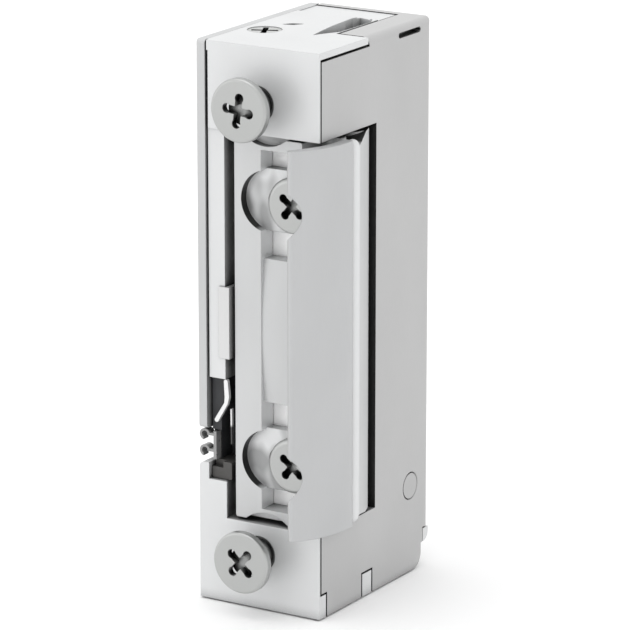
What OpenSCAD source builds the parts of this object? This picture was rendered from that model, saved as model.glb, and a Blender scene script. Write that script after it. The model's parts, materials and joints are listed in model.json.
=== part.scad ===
// Slim mortice-type electric door strike with an adjustable latch lip.
// X runs to the right along the front, Y goes back into the frame, Z is up.
// The origin is midway between the two fixing screws, on the front face.

/* [Casing] */
// Width of the casing without the latch lip
casing_w = 18.4; // [18.2:0.1:19]
// Depth of the casing behind the front face
casing_d = 28.2; // [28:0.1:30]
// Height of the casing
casing_h = 75; // [75:0.5:80]
// Height of the opening for the keeper
opening_h = 52; // [52:0.5:54]
// Thickness of the steel side plate
plate_t = 1.2; // [1:0.1:1.3]
// Thickness of the left cover
cover_t = 1.2; // [1.1:0.1:1.3]

/* [Fixing] */
// Distance between the two fixing screws
fixing_pitch = 60; // [59:0.5:61]
// Thickness of the faceplate that the screw heads leave room for
faceplate_t = 3.7; // [2.5:0.1:4]
// Radius of a fixing screw head
fixing_head_r = 4.15; // [3.9:0.05:4.25]

/* [Keeper] */
// Distance from the middle to each lip screw
lip_screw_z = 17.3; // [17:0.1:17.5]
// Radius of a lip screw head
lip_head_r = 3.7; // [3.5:0.1:3.8]
// Radius of the pivot barrel
barrel_r = 3.05; // [2.9:0.05:3.1]
// Radius of the keeper pin
keeper_pin_r = 1.25; // [1:0.05:1.3]

/* [Locking] */
// Radius of the locking lever's pin
lever_pin_r = 1.75; // [1.6:0.05:1.8]
// Radius of the solenoid plunger
plunger_r = 2.42; // [2.3:0.02:2.44]
// Outer radius of the coil winding
winding_r = 5.2; // [4.8:0.1:5.3]

/* [Hidden] */
$fn = 48;
eps = 0.01;

// Casing
half_w = casing_w / 2;
half_h = casing_h / 2;
half_open = opening_h / 2;
plate_in = half_w - plate_t;
rear_in = casing_d - plate_t;
fit_gap = 0.1;
ledge_gap = 0.35;
rear_seam = 0.02;
flap_gap = 0.45;
seam = 0.25;
cover_in = -half_w + cover_t;
wall_out = cover_in + seam;
wall_in = -5.3;
strip_y = 0.3;
plate_y0 = 0.5;
plate_top = half_h - plate_t;
bend_r = 1.1;
window_y = 14;
block_rear = 26;
cover_z0 = -14.2;
ear_top = -18.8;
ear_r = 0.7;
side_win = [-21, -7.2];
side_win_y = 13.2;
rear_split_z = -25.8;
rear_foot_z = -34.3;
notch_h = 3.1;
front_lug_y = 1.6;
mid_lug_y = [10.8, 13.1];
rear_lug = [26.8, -32.5];
notch_gap = 0.28;
flap_y0 = 12.2;
flap_x0 = 4.8;
rivet_places = [[6, 31], [21, 31], [21, -9]];
top_rim_h = 1.2;
top_screw_at = [-4.85, 9.4];
top_slot = [[-4.6, 13.6], [-3.6, 14.3], [-2.6, 15]];
relief_slot = [[19.9, 36.35], [24.8, 36.35]];
relief_slot_r = 0.36;
fixing_head_t = 1.05;

// Keeper and lip
keeper_half = 25.6;
pivot = [6.2, 11.2];
floor_y = [0.5, 3.3];
floor_x = [-3.9, 6.3];
channel_x = 0.1;
bridge_half = 9.6;
bridge_bow_r = 85;
bridge_drop = 0.16;
window_end = 24;
bore_depth = 1.26;
bore_r = 4.1;
bore_x = 1.2;
screw_x = 5.1;
lip_travel = 3;
nose = [10.45, 6];
nose_r = 0.85;
bead_drop = 0.9;
wall_slant = [[4, -bead_drop], [7, -bead_drop], [10.8, 0], [10.8, 1], [4, 1]];
ramp_c = [-1, 3.6];
ramp_r = 12.25;
ramp_in_c = [-1.4, 3.4];
ramp_in_r = 11.3;
ramp_tip = [7.675, -4.25];
ramp_tip_r = 0.55;
foot_y = [3.4, 4.9];
foot_z = [8.9, 24];
lip_half = 25.7;
lip_cut_r = 3.75;
lip_shank_r = 1.5;
tooth_x = [-3.6, 4];
tooth_y = [12.5, 14.4];
tooth_z = [-23, -19.2];

// Locking lever and solenoid
lever_axis = [23.2, -25.5];
lever_x = [-3.4, -0.6];
hub_r = 3.3;
lever_bore_r = lever_pin_r + 0.05;
nose_y = [10.4, 11.75];
nose_top = -23.4;
coil_x = 0.4;
coil_z = -4;
slot_y = 10.5;
slot_half = 0.85;
drive_r = 0.75;
plunger_y = [13.4, 19.6];
coil_y = [17.9, 26.1];
flange_t = 0.8;
flange_r = 5.45;
tube_r = 3;
coil_bore_r = 2.5;
frame_t = 1;
frame_tab_x = -4.35;
frame_screw_places = [[21.7, 5.2], [21.7, -13.2]];
lead_x = -4.75;
leads = [[10.6, -3.5], [12, -4.5]];

// Terminals
wire_y = [6.2, 10.2];
wire_z = -16.4;
wire_r = 1;
block_x = [-7.25, -4.1];

// Shapes that repeat
module box(lo, hi) {
    translate(lo) cube(hi - lo);
}
module rod_x(r, y, z, x0, x1) {
    translate([x0, y, z]) rotate([0, 90, 0]) cylinder(r = r, h = x1 - x0);
}
module rod_y(r, x, z, y0, y1) {
    translate([x, y0, z]) rotate([-90, 0, 0]) cylinder(r = r, h = y1 - y0);
}
module rod_z(r, x, y, z0, z1) {
    translate([x, y, z0]) cylinder(r = r, h = z1 - z0);
}
// A prism whose outline is drawn in the YZ plane
module prism_yz(x0, x1) {
    translate([x0, 0, 0]) rotate([90, 0, 90]) linear_extrude(x1 - x0) children();
}
// A prism whose outline is drawn in the XZ plane
module prism_xz(y0, y1) {
    translate([0, y1, 0]) rotate([90, 0, 0]) linear_extrude(y1 - y0) children();
}
// A prism whose outline is drawn in the XY plane
module prism_xy(z0, z1) {
    translate([0, 0, z0]) linear_extrude(z1 - z0) children();
}
// The outline of a bar with a round end of its own radius at each point
module bar2d(a, ra, b, rb) {
    run = norm(b - a);
    along = (b - a) / run;
    across = [-along[1], along[0]];
    lean = (ra - rb) / run;
    side = sqrt(1 - lean * lean);
    up = lean * along + side * across;
    down = lean * along - side * across;
    translate(a) circle(ra);
    translate(b) circle(rb);
    polygon([a + ra * down, b + rb * down, b + rb * up, a + ra * up]);
}
// A rectangle with rounded corners, from low to high
module round_rect(lo, hi, r) {
    translate([lo[0] + r, lo[1]]) square([hi[0] - lo[0] - 2 * r, hi[1] - lo[1]]);
    translate([lo[0], lo[1] + r]) square([hi[0] - lo[0], hi[1] - lo[1] - 2 * r]);
    for (x = [lo[0] + r, hi[0] - r], y = [lo[1] + r, hi[1] - r])
        translate([x, y]) circle(r);
}
// A cross recess that opens towards -Y, cut from a head whose face is at y
module cross_recess(x, y, z, turn, arm, wide, deep) {
    bulb = wide * 0.6;
    translate([x, y - eps, z]) rotate([-90, 0, 0]) rotate([0, 0, turn])
        linear_extrude(deep + eps) for (a = [0, 90]) rotate([0, 0, a]) {
            square([2 * (arm - bulb), wide], center = true);
            for (s = [-1, 1]) translate([s * (arm - bulb), 0]) circle(bulb);
        }
}
// A screw head along Y with a rounded rim, its face at y0 and its seat at y1
module pan_head(x, z, r, y0, y1) {
    rim = (y1 - y0) * 0.35;
    translate([x, 0, z]) rotate([-90, 0, 0]) rotate_extrude()
        union() {
            translate([0, y0]) square([r - rim, y1 - y0]);
            translate([0, y0 + rim]) square([r, y1 - y0 - rim]);
            translate([r - rim, y0 + rim]) circle(rim);
        }
}
// One wire of a coil spring along Z: turns from z0 to z1 as a swept tube
module helix(r, wire, turns, z0, z1, start = 0) {
    sides = 8;
    steps = 14;
    rings = turns * steps;
    pts = [for (i = [0:rings], k = [0:sides - 1])
        let (a = start + i * 360 / steps, b = k * 360 / sides,
             q = r + wire * cos(b), h = z0 + (z1 - z0) * i / rings)
        [q * cos(a), q * sin(a), h + wire * sin(b)]];
    walls = [for (i = [0:rings - 1], k = [0:sides - 1])
        let (n = (k + 1) % sides)
        [i * sides + k, i * sides + n, (i + 1) * sides + n, (i + 1) * sides + k]];
    first = [for (k = [sides - 1:-1:0]) k];
    last = [for (k = [0:sides - 1]) rings * sides + k];
    polyhedron(pts, concat([first], walls, [last]), convexity = 8);
}

// Die-cast housing: two blocks joined by the left wall
module top_outline() {
    round_rect([wall_out, 0], [plate_in - fit_gap, rear_in - fit_gap], 0.4);
}
module bottom_outline() {
    difference() {
        translate([0, -half_h]) square([rear_in - fit_gap, half_h - half_open]);
        translate([block_rear, -half_h - eps])
            square([casing_d, half_h + rear_foot_z + eps]);
        translate([block_rear - 2, -half_h]) difference() {
            translate([0, -eps]) square([2 + eps, 2 + eps]);
            translate([0, 2]) circle(2);
        }
    }
}
module housing_blocks() {
    prism_xy(half_open, half_h - plate_t - fit_gap) top_outline();
    difference() {
        box([wall_out, 0, plate_top - fit_gap - eps], [half_w, flap_y0 - 0.3, half_h]);
        box([plate_in - fit_gap, strip_y - fit_gap, half_open],
            [half_w + eps, flap_y0, plate_top + ledge_gap]);
    }
    box([wall_out, flap_y0 - 0.3 - eps, plate_top - fit_gap - eps],
        [flap_x0 - flap_gap, rear_in - rear_seam, half_h]);
    box([plate_in - 0.6, 0, half_open], [half_w, strip_y - fit_gap, plate_top + ledge_gap + eps]);
    // rim that closes the seam beside the left cover at the top
    box([cover_in + 0.03, 0.6, half_h - top_rim_h], [wall_out + 0.5, rear_in - fit_gap, half_h]);
    prism_yz(-half_w, plate_in - fit_gap) bottom_outline();
    box([plate_in - fit_gap - eps, 0, -half_h], [half_w, strip_y - fit_gap, -half_open]);
    box([-half_w, block_rear - 1, rear_foot_z],
        [plate_in - fit_gap, casing_d - 0.05, rear_split_z - fit_gap]);
}
module housing_lugs() {
    x0 = plate_in - fit_gap - eps;
    z1 = -half_h + notch_h;
    box([x0, 0, -half_h], [half_w, front_lug_y, z1]);
    box([x0, mid_lug_y[0], -half_h], [half_w, mid_lug_y[1], z1]);
    prism_yz(x0, half_w - 0.1) difference() {
        translate([rear_lug[0], rear_foot_z])
            square([casing_d - 0.05 - rear_lug[0], rear_lug[1] - rear_foot_z]);
        translate([casing_d - 1.25, rear_foot_z]) difference() {
            translate([0, -eps]) square([1.3, 1.2]);
            translate([0, 1.2]) circle(1.2);
        }
    }
}
module housing_left_wall() {
    difference() {
        box([wall_out, strip_y, -half_open - eps], [wall_in, rear_in - fit_gap, half_open + eps]);
        box([wall_out - eps, -eps, side_win[0]], [wall_in + eps, side_win_y, side_win[1]]);
    }
    // ear beside the terminals, with a rounded top corner
    prism_xz(0, block_rear) {
        translate([-half_w + ear_r, -half_open - eps])
            square([wall_out + half_w - ear_r + eps, ear_top + half_open + eps]);
        translate([-half_w, -half_open - eps]) square([1, ear_top + half_open - ear_r + eps]);
        translate([-half_w + ear_r, ear_top - ear_r]) circle(ear_r);
    }
    box([wall_out - eps, 0, -half_open - eps], [wall_in + 0.3, strip_y + eps, side_win[0]]);
    // spacers that carry the left cover
    for (p = rivet_places) rod_x(2.2, p[0], p[1], cover_in, wall_out + eps);
}
rivet_r = 1.2;
module top_details() {
    // seat of the small screw in the top
    rod_z(2.3, top_screw_at[0], top_screw_at[1], half_h - 1.3, half_h + eps);
    rod_z(1.02, top_screw_at[0], top_screw_at[1], half_h - 8, half_h);
    // short slot beside it
    prism_xy(half_h - 2, half_h + eps) {
        bar2d(top_slot[0], 0.15, top_slot[1], 0.55);
        bar2d(top_slot[1], 0.55, top_slot[2], 0.15);
    }
    // slanted blade-shaped pocket
    prism_xy(half_h - 2.6, half_h + eps) polygon([
        [2.3, 9.6], [3.1, 11.3], [4.2, 13.2], [4.3, 20.8], [3.6, 22.3], [1.4, 22.9],
        [0.9, 21.8], [1.3, 16], [1.8, 12.4]]);
    // shallow step near the rear edge
    box([wall_out - eps, 22.4, half_h - 0.12], [flap_x0, casing_d, half_h + eps]);
}
module lever_room() {
    box([-4.2, 9.6, -28.2], [0.2, 19, rear_split_z]);
    box([-4.2, 18.6, -30.2], [plate_in, rear_in, rear_split_z]);
}
module housing() color([0.87, 0.87, 0.88]) difference() {
    union() {
        housing_blocks();
        housing_lugs();
        housing_left_wall();
    }
    top_details();
    lever_room();
    for (s = [-1, 1]) {
        rod_y(1.72, 0, s * fixing_pitch / 2, -eps, 14);
        rod_y(2.4, 0, s * fixing_pitch / 2, -eps, 0.5);
    }
    rod_z(keeper_pin_r + 0.02, pivot[0], pivot[1], -half_h - eps, -half_open + eps);
    rod_z(keeper_pin_r + 0.02, pivot[0], pivot[1], half_open - eps, half_open + 5.3);
    rod_x(lever_pin_r + 0.02, lever_axis[0], lever_axis[1], wall_out - eps, -4);
    for (p = rivet_places) rod_x(rivet_r + 0.02, p[0], p[1], cover_in - eps, wall_in + 0.01);
    for (p = frame_screw_places) rod_x(0.82, p[0], p[1], wall_out - 1, wall_in + 0.01);
}

// Folded steel plate: right side, rear wall and a flap over the top
module side_plate_outer() intersection() {
    prism_xz(plate_y0, casing_d) difference() {
        translate([wall_out, -half_h]) square([half_w - wall_out, casing_h]);
        translate([half_w - bend_r, half_h - bend_r]) difference() {
            square(bend_r + eps);
            circle(bend_r);
        }
    }
    prism_xy(-half_h, half_h) difference() {
        translate([wall_out, plate_y0]) square([half_w - wall_out, casing_d - plate_y0]);
        translate([half_w - bend_r, casing_d - bend_r]) difference() {
            square(bend_r + eps);
            circle(bend_r);
        }
    }
}
module side_plate() color([0.77, 0.77, 0.77]) difference() {
    side_plate_outer();
    box([wall_out - 1, 0, -half_h - 1], [plate_in, rear_in, plate_top]);
    // the flap covers only the rear right part of the top
    box([wall_out - 1, 0, plate_top - eps], [flap_x0, casing_d - plate_t, half_h + 1]);
    box([wall_out - 1, 0, plate_top], [half_w + 1, flap_y0, half_h + 1]);
    // opening for the keeper
    box([plate_in - 1, 0, -half_open], [half_w + 1, window_y, half_open]);
    // rear wall and lower rear corner
    box([wall_out - 1, block_rear - 0.5, -half_h - 1], [plate_in, casing_d + 1, rear_split_z]);
    prism_yz(plate_in - 1, half_w + 1) {
        translate([block_rear + 0.1, -half_h - 1]) square([4, half_h + 1 + rear_foot_z]);
        translate([rear_lug[0] - notch_gap, rear_foot_z - 1])
            square([4, rear_lug[1] - rear_foot_z + 1 + notch_gap]);
        translate([block_rear - 1.9, -half_h]) difference() {
            translate([0, -eps]) square([2 + eps, 2]);
            translate([0, 2]) circle(2);
        }
    }
    // notches around the housing's lugs
    z1 = -half_h + notch_h + notch_gap;
    box([plate_in - 1, 0, -half_h - 1], [half_w + 1, front_lug_y + notch_gap, z1]);
    box([plate_in - 1, mid_lug_y[0] - notch_gap, -half_h - 1],
        [half_w + 1, mid_lug_y[1] + notch_gap, z1]);
    // relief slot at the bend
    prism_yz(plate_in - 1, half_w + 1)
        bar2d(relief_slot[0], relief_slot_r, relief_slot[1], relief_slot_r);
    // seat of the lever pin, with a chamfered mouth
    rod_x(lever_pin_r + 0.04, lever_axis[0], lever_axis[1], plate_in - 1, half_w + 1);
    translate([half_w - 0.25, lever_axis[0], lever_axis[1]]) rotate([0, 90, 0])
        cylinder(r1 = lever_pin_r + 0.04, r2 = lever_pin_r + 0.2, h = 0.25 + eps);
}

module left_cover() color([0.85, 0.85, 0.87]) difference() {
    prism_yz(-half_w, cover_in) round_rect([0, cover_z0], [casing_d, half_h], 0.5);
    for (p = rivet_places) {
        rod_x(rivet_r + 0.02, p[0], p[1], -half_w - 1, 0);
        translate([-half_w - eps, p[0], p[1]]) rotate([0, 90, 0])
            cylinder(r1 = 2.1, r2 = rivet_r, h = 0.9);
    }
}
module cover_rivets() color([0.8, 0.8, 0.82]) for (p = rivet_places) {
    rod_x(rivet_r, p[0], p[1], -half_w + 0.5, wall_in);
    translate([-half_w + 0.02, p[0], p[1]]) rotate([0, 90, 0])
        cylinder(r1 = 2.05, r2 = rivet_r, h = 0.85);
}
module top_screw() color([0.75, 0.76, 0.78]) difference() {
    union() {
        rod_z(2.28, top_screw_at[0], top_screw_at[1], half_h - 1.28, half_h - 0.08);
        rod_z(1, top_screw_at[0], top_screw_at[1], half_h - 7.9, half_h - 1);
    }
    translate([top_screw_at[0], top_screw_at[1], half_h - 1.05]) for (a = [25, 115])
        rotate([0, 0, a]) translate([-1.75, -0.36, 0]) cube([3.5, 0.72, 1.1]);
}

// Pivoting keeper: a slotted floor, ribs and a barrel on the pin
module keeper_web(z0, z1) prism_xy(z0, z1) polygon([
    [0.6, floor_y[1] - 0.2], [floor_x[1], floor_y[1] - 0.2], [floor_x[1], 5.2],
    [nose[0] - 0.6, 5.4], pivot, [pivot[0] - 2.8, pivot[1] - 0.5]]);
module keeper_floor() difference() {
    prism_xz(floor_y[0], floor_y[1])
        round_rect([floor_x[0], -keeper_half], [floor_x[1], keeper_half], 0.3);
    // bowed bridge between the lip screws
    intersection() {
        box([channel_x, 0, -bridge_half], [9, 3, bridge_half]);
        difference() {
            box([-9, 0, -20], [9, 3, 20]);
            rod_x(bridge_bow_r, floor_y[0] + bridge_drop + bridge_bow_r, 0, -10, 10);
        }
    }
    // shallow clearance for the fixing screw heads
    for (s = [-1, 1]) rod_y(5, 0.8, s * 29.5, 0, floor_y[0] + 1.2);
    for (s = [-1, 1]) {
        z = s * lip_screw_z;
        lo = s > 0 ? bridge_half : -window_end;
        hi = s > 0 ? window_end : -bridge_half;
        // through window with a ledge left for the screw head
        difference() {
            box([channel_x, 0, lo], [9, 4, hi]);
            box([channel_x - 1, floor_y[0] + bore_depth, z - bore_r], [9.1, 5, z + bore_r]);
        }
        rod_y(bore_r, bore_x, z, 0, floor_y[0] + bore_depth);
        // open slot for the screw shank
        rod_y(lip_shank_r + 0.12, screw_x - lip_travel, z, 0, 5);
        box([screw_x - lip_travel, 0, z - lip_shank_r - 0.12], [9, 5, z + lip_shank_r + 0.12]);
    }
}
module keeper() color([0.86, 0.86, 0.87]) difference() {
    union() {
        keeper_floor();
        keeper_web(-8.4, 8.4);
        keeper_web(window_end + 0.3, keeper_half);
        keeper_web(-keeper_half, -window_end - 0.3);
        // wall from the barrel to the bead, lower towards the bead
        difference() {
            prism_xy(-keeper_half, keeper_half) bar2d(nose, nose_r, pivot, barrel_r);
            for (s = [-1, 1]) prism_yz(-1, 15) polygon([for (p = wall_slant)
                [p[0], s * (p[1] + keeper_half)]]);
        }
        for (s = [-1, 1]) translate([nose[0], nose[1], s * (keeper_half - bead_drop)])
            rotate([0, 90, 0]) sphere(nose_r);
        rod_z(barrel_r, pivot[0], pivot[1], -keeper_half, keeper_half);
        box([tooth_x[0], tooth_y[0], tooth_z[0]], [pivot[0], tooth_y[1], tooth_z[1]]);
        box([pivot[0] - 2.5, pivot[1], tooth_z[0]], [pivot[0], tooth_y[1], tooth_z[1]]);
    }
    rod_z(keeper_pin_r + 0.05, pivot[0], pivot[1], -keeper_half - 1, keeper_half + 1);
    // chamber for the torsion spring
    rod_z(2.55, pivot[0], pivot[1], -7, 7);
    box([pivot[0] - 3.2, pivot[1] - 0.2, -7], [pivot[0] - 1.6, pivot[1] + 2.4, 7]);
}

// Adjustable latch lip: a curved, tapered blade with two feet
module ramp2d() {
    difference() {
        intersection() {
            translate(ramp_c) circle(ramp_r, $fn = 120);
            polygon([ramp_tip, [ramp_tip[0] + 2, ramp_tip[1] - 2], [14, -3], [14, foot_y[1]],
                [8, foot_y[1]]]);
        }
        translate(ramp_in_c) circle(ramp_in_r, $fn = 120);
    }
    translate(ramp_tip) circle(ramp_tip_r);
}
module latch_lip() color([0.8, 0.81, 0.83]) difference() {
    union() {
        prism_xy(-lip_half, lip_half) ramp2d();
        for (s = [-1, 1]) prism_xz(foot_y[0], foot_y[1])
            round_rect([-0.3, s > 0 ? foot_z[0] : -foot_z[1]],
                [10.4, s > 0 ? foot_z[1] : -foot_z[0]], 0.5);
    }
    for (s = [-1, 1]) {
        rod_y(lip_cut_r, screw_x, s * lip_screw_z, -8, 2);
        rod_y(lip_shank_r + 0.02, screw_x, s * lip_screw_z, 2, 6);
    }
}
module lip_screws() color([0.78, 0.79, 0.8]) for (s = [-1, 1]) {
    z = s * lip_screw_z;
    seat = floor_y[0] + bore_depth - 0.05;
    difference() {
        pan_head(screw_x, z, lip_head_r, -0.2, seat);
        cross_recess(screw_x, -0.2, z, 38, 2.1, 0.95, 1.1);
    }
    rod_y(lip_shank_r, screw_x, z, seat - eps, foot_y[1] + 0.4);
}
module keeper_pin() color([0.7, 0.71, 0.73])
    rod_z(keeper_pin_r, pivot[0], pivot[1], -half_h + 0.1, half_open + 5);
module keeper_spring() color([0.6, 0.61, 0.63]) translate([pivot[0], pivot[1], 0])
    helix(1.85, 0.28, 10, -5.6, 5.6);

// Locking lever: a flat bell crank on the lever pin
module locking_lever() color([0.68, 0.69, 0.71]) difference() {
    prism_yz(lever_x[0], lever_x[1]) {
        translate(lever_axis) circle(hub_r);
        bar2d(lever_axis, hub_r, [18.6, -15.8], 1.5);
        bar2d([18.6, -15.8], 1.5, [slot_y + 1.2, -9.4], 1.6);
        bar2d([slot_y + 0.5, -10], 2.1, [slot_y, -7.4], 1.85);
        translate([slot_y - 1.85, -7.5]) square([3.7, 6.1]);
        bar2d([lever_axis[0], -26.3], 1.6, [nose_y[0] + 1.2, -26.3], 1.2);
        translate([nose_y[0], -26.6]) square([nose_y[1] - nose_y[0], nose_top + 26.6]);
    }
    rod_x(lever_bore_r, lever_axis[0], lever_axis[1], -5, 5);
    rod_x(slot_half, slot_y, -6.6, -5, 5);
    box([-5, slot_y - slot_half, -6.6], [5, slot_y + slot_half, 0]);
}
module lever_pin() color([0.76, 0.76, 0.77])
    rod_x(lever_pin_r, lever_axis[0], lever_axis[1], wall_out + 0.1, half_w - 0.03);
module lever_spacers() color([0.72, 0.6, 0.36]) {
    for (span = [[-4.15, lever_x[0] - 0.1], [3.7, plate_in - 0.1]]) difference() {
        rod_x(2.7, lever_axis[0], lever_axis[1], span[0], span[1]);
        rod_x(lever_pin_r + 0.03, lever_axis[0], lever_axis[1], span[0] - 1, span[1] + 1);
    }
}
module lever_spring() color([0.6, 0.61, 0.63])
    translate([0, lever_axis[0], lever_axis[1]]) rotate([0, 90, 0])
        helix(2.25, 0.25, 5, -0.1, 3.2);

// Solenoid behind the lever
module plunger() color([0.66, 0.66, 0.68]) {
    rod_y(plunger_r, coil_x, coil_z, plunger_y[0], plunger_y[1]);
    difference() {
        intersection() {
            rod_y(plunger_r, coil_x, coil_z, slot_y - 1.5, plunger_y[0] + 1);
            box([coil_x - 0.8, 0, coil_z - 4], [coil_x + 0.8, 20, coil_z + 4]);
        }
        rod_x(drive_r + 0.02, slot_y, coil_z, -3, 4);
    }
}
module drive_pin() color([0.75, 0.75, 0.77])
    rod_x(drive_r, slot_y, coil_z, lever_x[0], coil_x + 1.1);
module coil_bobbin() color([0.12, 0.12, 0.13]) difference() {
    union() {
        rod_y(tube_r, coil_x, coil_z, coil_y[0], coil_y[1]);
        for (y = [coil_y[0], coil_y[1] - flange_t])
            rod_y(flange_r, coil_x, coil_z, y, y + flange_t);
    }
    rod_y(coil_bore_r, coil_x, coil_z, coil_y[0] - 1, coil_y[1] + 1);
}
module coil_winding() color([0.62, 0.3, 0.14]) difference() {
    rod_y(winding_r, coil_x, coil_z, coil_y[0] + flange_t, coil_y[1] - flange_t);
    rod_y(tube_r + 0.01, coil_x, coil_z, coil_y[0], coil_y[1]);
}
module coil_core() color([0.6, 0.6, 0.62]) {
    rod_y(2.4, coil_x, coil_z, 23.3, coil_y[1] + 0.01);
    rod_y(1.6, coil_x, coil_z, coil_y[1], rear_in - 0.05);
}
module coil_frame() color([0.7, 0.7, 0.71]) difference() {
    x0 = wall_in + 0.05;
    front = coil_y[0] - frame_t;
    rear = rear_in - 0.08;
    union() {
        box([x0, front, -9.6], [coil_x + 5, coil_y[0] - 0.02, 2.6]);
        box([x0, coil_y[1] + 0.02, -9.6], [coil_x + 5, rear, 2.6]);
        box([x0, front, coil_z + flange_r + 0.1], [coil_x + 5, rear, 2.6]);
        for (z = [[1.8, 6.8], [-14.8, -8.8]]) box([x0, front, z[0]], [frame_tab_x, rear, z[1]]);
    }
    rod_y(coil_bore_r, coil_x, coil_z, front - 1, coil_y[0]);
    rod_y(1.62, coil_x, coil_z, coil_y[1], casing_d);
    // room for the lever's arm when it is pulled back
    box([frame_tab_x + 0.05, front - 1, -10], [0.2, coil_y[0], -8.2]);
    // notch for the two leads
    box([x0 - 1, front - 1, -5.2], [frame_tab_x + 0.05, coil_y[0], -2.8]);
    for (p = frame_screw_places) rod_x(0.82, p[0], p[1], x0 - 1, x0 + 2);
}
module frame_screws() color([0.8, 0.76, 0.6]) for (p = frame_screw_places) {
    rod_x(0.8, p[0], p[1], wall_out + 0.05, frame_tab_x + 0.1);
    rod_x(1.5, p[0], p[1], frame_tab_x + 0.01, frame_tab_x + 0.65);
}

// Wiring behind the side window
module coil_leads() color([0.75, 0.1, 0.08]) for (p = leads) {
    rod_z(0.3, lead_x, p[0], side_win[1] - 0.6, p[1]);
    translate([lead_x, p[0], p[1]]) sphere(0.3);
    rod_y(0.3, lead_x, p[1], p[0], coil_y[0] - 0.02);
}
module terminal_block() color([0.17, 0.18, 0.19]) difference() {
    front_x = wall_out + 0.05;
    union() {
        box([block_x[0], 4.2, side_win[0] + 0.3], [block_x[1], 12.9, side_win[1] - 0.2]);
        prism_xz(0.9, 4.3) polygon([[front_x, side_win[1] - 0.2], [-5.7, side_win[1] - 0.2],
            [-5.7, -11], [-6.3, -12.6], [-6.3, -14.4], [front_x, -14.4]]);
        box([-8, 1.8, -18.5], [-6.85, 4.3, -14.35]);
    }
    for (y = wire_y) {
        box([block_x[0] + 0.8, y - 1.6, wire_z - 1.7], [block_x[1] + eps, y + 1.6, wire_z + 1.7]);
        rod_x(wire_r + 0.25, y, wire_z, block_x[0] - 1, block_x[1]);
        rod_z(0.92, block_x[0] + 2, y, wire_z, side_win[1] + 1);
    }
    for (p = leads) rod_z(0.32, lead_x, p[0], side_win[1] - 0.62, side_win[1]);
}
module wire_clamps() color([0.78, 0.66, 0.36]) for (y = wire_y) difference() {
    box([block_x[0] + 0.85, y - 1.55, wire_z - 1.65], [block_x[1] - 0.05, y + 1.55, wire_z + 1.65]);
    rod_x(wire_r, y, wire_z, block_x[0], block_x[1] + 1);
    rod_z(0.82, block_x[0] + 2, y, wire_z, wire_z + 3);
}
module clamp_screws() color([0.75, 0.75, 0.76]) for (y = wire_y) difference() {
    rod_z(0.8, block_x[0] + 2, y, wire_z + wire_r + 0.1, side_win[1] - 1.2);
    box([block_x[0] + 1.8, y - 1, side_win[1] - 1.8], [block_x[0] + 2.2, y + 1, side_win[1]]);
}
// Two curled tags that stand out of the gap under the left cover
module tag_curl(z) {
    translate([-8.7, 0, z]) difference() {
        prism_xz(0.5, 1.7) difference() {
            circle(0.78);
            circle(0.46);
        }
        box([-0.2, 0, -2], [2, 3, 0]);
    }
    box([-8.3, 0.5, z - 0.05], [-7.2, 1.7, z + 0.3]);
}
module terminal_tags() color([0.85, 0.86, 0.88]) {
    tag_curl(-15.2);
    tag_curl(-17.4);
    box([-7.35, 0.5, -18.4], [-6.9, 1.7, -14.6]);
}
module contact_leaf() color([0.9, 0.91, 0.92]) prism_xz(0.35, 0.86) {
    bar2d([-5.3, -7.55], 0.3, [-5.15, -9.6], 0.34);
    bar2d([-5.15, -9.6], 0.34, [-5.3, -10.5], 0.26);
    bar2d([-5.3, -10.5], 0.26, [-6.75, -12.9], 0.3);
    bar2d([-4.5, -11.2], 0.1, [-4.45, -15.8], 0.1);
}
module suppressor() color([0.42, 0.4, 0.38]) difference() {
    prism_xz(0.6, 4) round_rect([-7.6, side_win[0] + 0.1], [-4.6, ear_top + 0.25], 0.25);
    box([-8, 0, ear_top - 0.6], [-5.9, 1.4, ear_top + 1]);
}
// Slide that holds the strike open in the daytime
module day_latch_slide() color([0.92, 0.92, 0.93]) {
    box([-6.15, 0, -4.35], [-4.5, strip_y - 0.06, 5.25]);
    box([-5.15, 0.1, -4.35], [-4.5, 7.5, 5.25]);
    box([-5.15, 6.6, -4.35], [-4.1, 7.5, 5.25]);
}
module fixing_screws() color([0.78, 0.79, 0.8]) for (s = [-1, 1]) {
    z = s * fixing_pitch / 2;
    face = -faceplate_t - fixing_head_t;
    difference() {
        pan_head(0, z, fixing_head_r, face, -faceplate_t);
        cross_recess(0, face, z, s > 0 ? 8 : 42, 2.3, 1.05, 1.5);
    }
    rod_y(2, 0, z, -faceplate_t - eps, 0);
    rod_y(1.7, 0, z, -eps, 12);
}

housing();
side_plate();
left_cover();
cover_rivets();
top_screw();
keeper();
latch_lip();
lip_screws();
keeper_pin();
keeper_spring();
locking_lever();
lever_pin();
lever_spacers();
lever_spring();
plunger();
drive_pin();
coil_bobbin();
coil_winding();
coil_core();
coil_frame();
frame_screws();
coil_leads();
terminal_block();
wire_clamps();
clamp_screws();
terminal_tags();
contact_leaf();
suppressor();
day_latch_slide();
fixing_screws();
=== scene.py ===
"""Looks of the electric door strike: satin plated metals, painted shade in crevices, painted light and
shade in marked places, soft studio light.
"""
import json
import math

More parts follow.
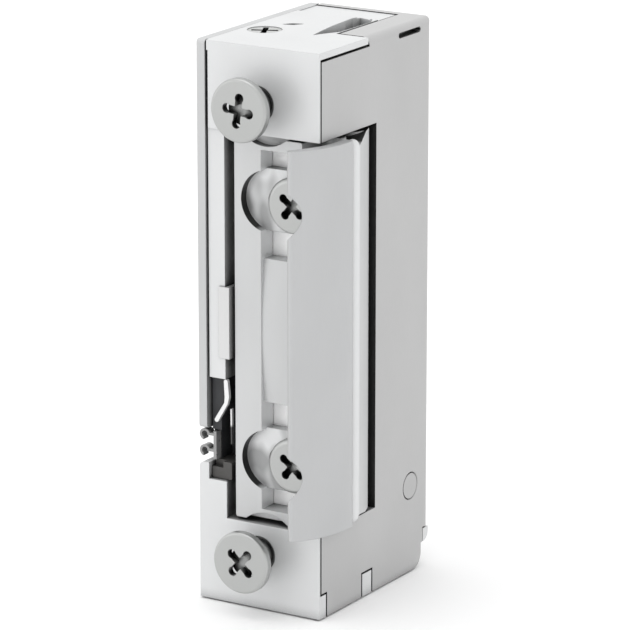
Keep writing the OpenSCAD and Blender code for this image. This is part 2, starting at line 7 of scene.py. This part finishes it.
import bpy
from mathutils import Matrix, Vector


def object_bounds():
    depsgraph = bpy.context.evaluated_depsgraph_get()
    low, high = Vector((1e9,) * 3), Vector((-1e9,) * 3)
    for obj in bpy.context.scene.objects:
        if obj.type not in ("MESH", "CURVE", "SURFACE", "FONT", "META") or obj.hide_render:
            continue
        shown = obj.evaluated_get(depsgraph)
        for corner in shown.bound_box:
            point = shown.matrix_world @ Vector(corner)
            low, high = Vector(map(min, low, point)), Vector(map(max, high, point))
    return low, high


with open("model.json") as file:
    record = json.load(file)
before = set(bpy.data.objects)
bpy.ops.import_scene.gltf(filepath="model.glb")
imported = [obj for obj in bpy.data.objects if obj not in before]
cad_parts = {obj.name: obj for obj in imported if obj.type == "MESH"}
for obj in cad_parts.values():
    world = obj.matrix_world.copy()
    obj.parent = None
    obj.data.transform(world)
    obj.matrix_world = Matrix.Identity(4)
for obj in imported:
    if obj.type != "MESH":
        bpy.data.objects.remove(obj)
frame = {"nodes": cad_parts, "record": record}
cad_low, cad_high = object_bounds()
MM = 0.001
FLOOR_GAP = 0.2 * MM
EDGE_RADIUS = 0.12 * MM
COOL = (0.985, 0.995, 1.0)

# Ranges that the painted light and shade fade in over: the cosine between a face and a direction,
# or a place along one axis of the shared frame in mm
SQUARE_ON = (0.93, 0.98)
TURNED_TO = (0.2, 0.5)
END_ON = (0.7, 0.95)
TIP_TURN = (0.1, 0.7)
LIP_FOOT_Y = (3.0, 3.3)
LOWER_PRONG_Z = (-13.2, -13.6)
POCKET_WALL_X = (0.0, -0.6)
WINDOW_WALL_FROM_X = (-0.1, 0.05)
WINDOW_WALL_TO_X = (0.4, 0.2)
POCKET_FLOOR_Y = (1.6, 1.7)
BEAD_X = (9.2, 9.5)
BEAD_Y = (7.2, 6.6)
WALL_END_Y = (7.0, 8.0)
FRONT, RIGHT, LEFT, UP = (0, -1, 0), (1, 0, 0), (-1, 0, 0), (0, 0, 1)


# ---------------------------------------------------------------- node helpers
class Graph:
    """A short way to add and join the nodes of one material."""

    def __init__(self, name):
        self.material = bpy.data.materials.new(name)
        self.material.use_nodes = True
        self.tree = self.material.node_tree
        self.shader = self.tree.nodes["Principled BSDF"]

    def add(self, kind, **inputs):
        """A new node, with its inputs given by name; an underscore stands for a space."""
        node = self.tree.nodes.new(kind)
        for key, value in inputs.items():
            self.feed(node, key, value)
        return node

    def feed(self, node, key, value):
        """Link value to an input if it is a socket, otherwise set it there."""
        name = key.replace("_", " ") if isinstance(key, str) else key
        if isinstance(value, bpy.types.NodeSocket):
            self.tree.links.new(value, node.inputs[name])
        else:
            node.inputs[name].default_value = value

    def place(self, scale):
        """Coordinates in millimetres of the shared frame, stretched by scale."""
        where = self.add("ShaderNodeTexCoord").outputs["Object"]
        stretch = Vector(scale) / MM
        return self.add("ShaderNodeMapping", Vector=where, Scale=stretch).outputs[0]

    def noise(self, scale, detail=3.0, rough=0.55):
        where = self.place(scale)
        made = self.add("ShaderNodeTexNoise", Vector=where, Scale=1.0, Detail=detail, Roughness=rough)
        return made.outputs["Fac"]

    def ramp(self, value, low, high, start=0.3, end=0.7):
        made = self.add("ShaderNodeMapRange", Value=value)
        for key, number in (("From Min", start), ("From Max", end), ("To Min", low), ("To Max", high)):
            made.inputs[key].default_value = number
        return made.outputs["Result"]

    def mix(self, amount, first, second):
        made = self.add("ShaderNodeMix")
        made.data_type = "RGBA"
        for index, value in ((0, amount), (6, first), (7, second)):
            self.feed(made, index, value)
        return made.outputs[2]

    def paint_crevice_shade(self, tone, dark, reach, start=0.15, end=0.7):
        """The tone, turning to dark where other surfaces crowd in within reach millimetres: painted
        shade in crevices and between parts.
        """
        near = self.add("ShaderNodeAmbientOcclusion", Distance=reach * MM)
        near.samples = 8
        return self.mix(self.ramp(near.outputs["AO"], 0.0, 1.0, start, end), dark, tone)

    def facing(self, way, fade):
        """0 to 1 as the unturned part's faces turn towards way."""
        along = self.add("ShaderNodeVectorMath")
        along.operation = "DOT_PRODUCT"
        self.feed(along, 0, self.add("ShaderNodeTexCoord").outputs["Normal"])
        self.feed(along, 1, way)
        return self.ramp(along.outputs["Value"], 0.0, 1.0, *fade)

    def beyond(self, axis, fade):
        """0 to 1 from one place along an axis of the shared frame to another."""
        split = self.add("ShaderNodeSeparateXYZ", Vector=self.place((1, 1, 1)))
        return self.ramp(split.outputs[axis], 0.0, 1.0, *fade)

    def both(self, first, *others):
        """The product of masks: 1 only where all of them are 1."""
        for other in others:
            product = self.add("ShaderNodeMath")
            product.operation = "MULTIPLY"
            self.feed(product, 0, first)
            self.feed(product, 1, other)
            first = product.outputs[0]
        return first


def grey(level, tint=(1.0, 1.0, 1.0)):
    return [level * t for t in tint] + [1.0]


def metal(name, level, rough, grain=(2.0, 2.0, 2.0), spread=0.05, bump=0.02, tint=(1, 1, 1),
          shade=0.95, reach=4.0, open_from=0.15, open_to=0.7, patches=0.05, sheen=0.4, painted_light=None):
    """A plated or brushed metal: cloudy tone, fine grain, softened edges, painted shade in crevices
    and painted light and shade where the masks put it.
    """
    g = Graph(name)
    fine = g.noise(grain, detail=4.0)
    cloud = g.noise((0.09, 0.09, 0.05), detail=2.0)
    tone = g.mix(g.ramp(cloud, 0.0, 1.0), grey(level * (1 - patches), tint), grey(level, tint))
    # painted shade in crevices and between parts
    tone = g.paint_crevice_shade(tone, grey(level * (1 - shade), tint), reach, open_from, open_to)
    # painted light and shade: each mask lays its painted tone over the tone
    for where, painted_tone in painted_light(g) if painted_light else ():
        tone = g.mix(where, tone, painted_tone)
    g.feed(g.shader, "Base Color", tone)
    g.shader.inputs["Metallic"].default_value = sheen
    g.feed(g.shader, "Roughness", g.ramp(fine, rough - spread, rough + spread))
    edge = g.add("ShaderNodeBevel", Radius=EDGE_RADIUS)
    edge.samples = 4
    relief = g.add("ShaderNodeBump", Height=fine, Strength=bump, Distance=0.05 * MM,
                   Normal=edge.outputs[0])
    g.feed(g.shader, "Normal", relief.outputs[0])
    return g.material


def plastic(name, colour, rough, grain=3.0, gloss=0.45, shade=0.8, reach=3.0):
    """A moulded plastic with a fine spark-eroded grain."""
    g = Graph(name)
    fine = g.noise((grain, grain, grain), detail=3.0)
    cloud = g.noise((0.3, 0.3, 0.3), detail=2.0)
    tone = g.mix(g.ramp(cloud, 0.0, 1.0), grey(0.8, colour), grey(1.0, colour))
    # painted shade in crevices and between parts
    tone = g.paint_crevice_shade(tone, grey(1.0 - shade, colour), reach)
    g.feed(g.shader, "Base Color", tone)
    g.feed(g.shader, "Roughness", g.ramp(fine, rough - 0.06, rough + 0.06))
    g.shader.inputs["Specular IOR Level"].default_value = gloss
    relief = g.add("ShaderNodeBump", Height=fine, Strength=0.15, Distance=0.03 * MM)
    g.feed(g.shader, "Normal", relief.outputs[0])
    return g.material


def sheet_edge_painted_shade(g):
    """The plate's edges which face the front are painted near black: painted shade in the gap they
    border.
    """
    return [(g.facing(FRONT, SQUARE_ON), grey(0.015))]


def lip_painted_light(g):
    """The lip's feet behind the keeper's windows are painted bright, a painted highlight, and its tip
    a little darker, painted shade.
    """
    foot = g.both(g.facing(FRONT, SQUARE_ON), g.beyond("Y", LIP_FOOT_Y))
    tip = g.facing(LEFT, TIP_TURN)
    return [(foot, grey(1.0)), (tip, grey(0.40))]


def leaf_painted_shade(g):
    """The contact leaf's lower prong is painted dark: painted shade."""
    return [(g.beyond("Z", LOWER_PRONG_Z), grey(0.06))]


def keeper_painted_light(g):
    """Painted light on the keeper: screw pockets with walls in painted shade and floors with painted
    mottled reflections, window walls with painted light, a painted highlight on the bead, the wall's
    end in painted shade.
    """
    right = g.facing(RIGHT, TURNED_TO)
    pocket_wall = g.both(right, g.beyond("X", POCKET_WALL_X))
    window_wall = g.both(right, g.beyond("X", WINDOW_WALL_FROM_X), g.beyond("X", WINDOW_WALL_TO_X))
    pocket_floor = g.both(g.facing(FRONT, SQUARE_ON), g.beyond("Y", POCKET_FLOOR_Y))
    bead = g.both(g.beyond("X", BEAD_X), g.beyond("Y", BEAD_Y))
    wall_end = g.both(g.facing(UP, END_ON), g.beyond("Y", WALL_END_Y))
    # painted reflection: a dark and bright mottle for the pocket floors
    painted_reflection_mottle = g.ramp(g.noise((0.3, 0.3, 0.16), detail=1.0), 0.0, 1.0, 0.40, 0.56)
    return [
        # painted shade on the screw pockets' walls
        (pocket_wall, grey(0.004)),
        # painted light on the window walls
        (window_wall, grey(0.8, COOL)),
        # painted reflections, mottled, on the pocket floors
        (pocket_floor, g.mix(painted_reflection_mottle, grey(0.34, COOL), grey(0.72, COOL))),
        # painted highlight on the bead
        (bead, grey(0.68, COOL)),
        # painted shade on the wall's end
        (wall_end, grey(0.01)),
    ]


# ------------------------------------------------------------------- materials
FINISH = {
    "die_cast": metal("nickel_casting", 0.69, 0.50, grain=(5, 5, 5), tint=COOL, reach=3.5,
                      open_from=0.2, open_to=0.7),
    "sheet": metal("matte_sheet", 0.465, 0.38, grain=(6, 6, 0.8), reach=2.5,
                   painted_light=sheet_edge_painted_shade),
    "cover": metal("cover_sheet", 0.54, 0.45, grain=(6, 6, 0.8), tint=COOL),
    "keeper": metal("keeper_casting", 0.57, 0.42, grain=(5, 5, 1.2), tint=COOL, reach=3.0,
                    open_to=0.55, painted_light=keeper_painted_light),
    "lip": metal("lip_sheet", 0.50, 0.45, tint=(0.98, 0.99, 1.0), grain=(7, 7, 0.7), reach=8.0,
                 painted_light=lip_painted_light),
    "screw": metal("zinc_screw", 0.46, 0.30, tint=(0.985, 1.0, 0.985), reach=1.4, spread=0.02,
                   bump=0.0, shade=0.99, sheen=0.8, open_from=0.4, open_to=0.9),
    "pin": metal("ground_pin", 0.46, 0.45, grain=(6, 6, 6), spread=0.03, bump=0.0, reach=1.0),
    "spring": metal("spring_wire", 0.50, 0.25),
    "lever": metal("zinc_lever", 0.45, 0.40),
    "brass": metal("turned_brass", 0.70, 0.30, tint=(1.0, 0.82, 0.5)),
    "plastic": plastic("dark_plastic", (0.03, 0.031, 0.034), 0.5),
    "winding": plastic("enamelled_wire", (0.32, 0.1, 0.03), 0.3),
    "lead": plastic("lead_insulation", (0.45, 0.02, 0.015), 0.4),
    "tag": metal("bright_tag", 0.8, 0.2, reach=1.0, painted_light=leaf_painted_shade),
    "suppressor": plastic("suppressor_body", (0.07, 0.068, 0.065), 0.5),
    "slide": metal("slide_metal", 0.64, 0.4, reach=2.0),
}
# painted shade: the terminal tags get a darker copy of the tag metal
SHADED_FINISH = {"terminal_tags": metal("painted_shade_tag", 0.30, 0.3, reach=1.0)}
SLOT_OF = {part["node"]: part["material_slot"] for part in frame["record"]["subparts"]}

for node, solid in frame["nodes"].items():
    solid.data.materials.clear()
    solid.data.materials.append(SHADED_FINISH.get(node, FINISH[SLOT_OF[node]]))


# ---------------------------------------------------------------------- studio
def stage_floor():
    bpy.ops.mesh.primitive_plane_add(size=6.0, location=(0, 0, cad_low.z - FLOOR_GAP))
    floor = bpy.context.object
    floor.name = "floor"
    g = Graph("pale_floor")
    mottle = g.noise((0.02, 0.02, 0.02), detail=2.0)
    g.feed(g.shader, "Base Color", g.mix(g.ramp(mottle, 0.0, 1.0), grey(0.92), grey(0.94)))
    g.shader.inputs["Roughness"].default_value = 0.9
    g.shader.inputs["Specular IOR Level"].default_value = 0.1
    floor.data.materials.append(g.material)


def softbox(name, place, target, size, power):
    """A rectangular area light at place, facing target."""
    data = bpy.data.lights.new(name, "AREA")
    data.shape = "RECTANGLE"
    data.size, data.size_y = size
    data.energy = power
    lamp = bpy.data.objects.new(name, data)
    lamp.location = Vector(place)
    lamp.rotation_mode = "QUATERNION"
    lamp.rotation_quaternion = (Vector(place) - Vector(target)).to_track_quat("Z", "Y")
    bpy.context.collection.objects.link(lamp)


def sky(left, right):
    """A white backdrop for the eye; for the light, a studio that dims from left to right."""
    world = bpy.data.worlds.new("studio")
    bpy.context.scene.world = world
    world.use_nodes = True
    nodes, links = world.node_tree.nodes, world.node_tree.links
    around = nodes.new("ShaderNodeTexCoord")
    split = nodes.new("ShaderNodeSeparateXYZ")
    dim = nodes.new("ShaderNodeMapRange")
    for key, value in (("From Min", -0.5), ("From Max", 0.6), ("To Min", left), ("To Max", right)):
        dim.inputs[key].default_value = value
    light = nodes["Background"]
    light.inputs["Color"].default_value = (1, 1, 1, 1)
    seen = nodes.new("ShaderNodeBackground")
    seen.inputs["Color"].default_value = (1, 1, 1, 1)
    path = nodes.new("ShaderNodeLightPath")
    choose = nodes.new("ShaderNodeMixShader")
    links.new(around.outputs["Generated"], split.inputs[0])
    links.new(split.outputs["X"], dim.inputs["Value"])
    links.new(dim.outputs["Result"], light.inputs["Strength"])
    links.new(path.outputs["Is Camera Ray"], choose.inputs[0])
    links.new(light.outputs[0], choose.inputs[1])
    links.new(seen.outputs[0], choose.inputs[2])
    links.new(choose.outputs[0], nodes["World Output"].inputs["Surface"])


def camera():
    """The photograph's view: 31.6 degrees to the right of the front and 15.4 above it."""
    yaw, pitch = math.radians(31.5657), math.radians(15.4136)
    data = bpy.data.cameras.new("camera")
    data.sensor_width = 36.0
    data.lens = 240.0
    data.clip_start = 0.01
    data.clip_end = 20.0
    cam = bpy.data.objects.new("camera", data)
    cam.location = Vector((278.479, -439.408, 145.717)) * MM
    back = Vector((math.sin(yaw) * math.cos(pitch), -math.cos(yaw) * math.cos(pitch), math.sin(pitch)))
    cam.rotation_mode = "QUATERNION"
    cam.rotation_quaternion = back.to_track_quat("Z", "Y")
    bpy.context.collection.objects.link(cam)
    bpy.context.scene.camera = cam


stage_floor()
sky(left=1.22, right=1.1)
softbox("key", place=(-0.42, -0.42, 0.06), target=(0, 0, 0), size=(0.3, 0.3), power=0.15)
softbox("top", place=(-0.1, -0.1, 0.6), target=(0, 0, 0), size=(0.5, 0.5), power=0.6)
camera()
bpy.context.scene.view_settings.view_transform = "Standard"
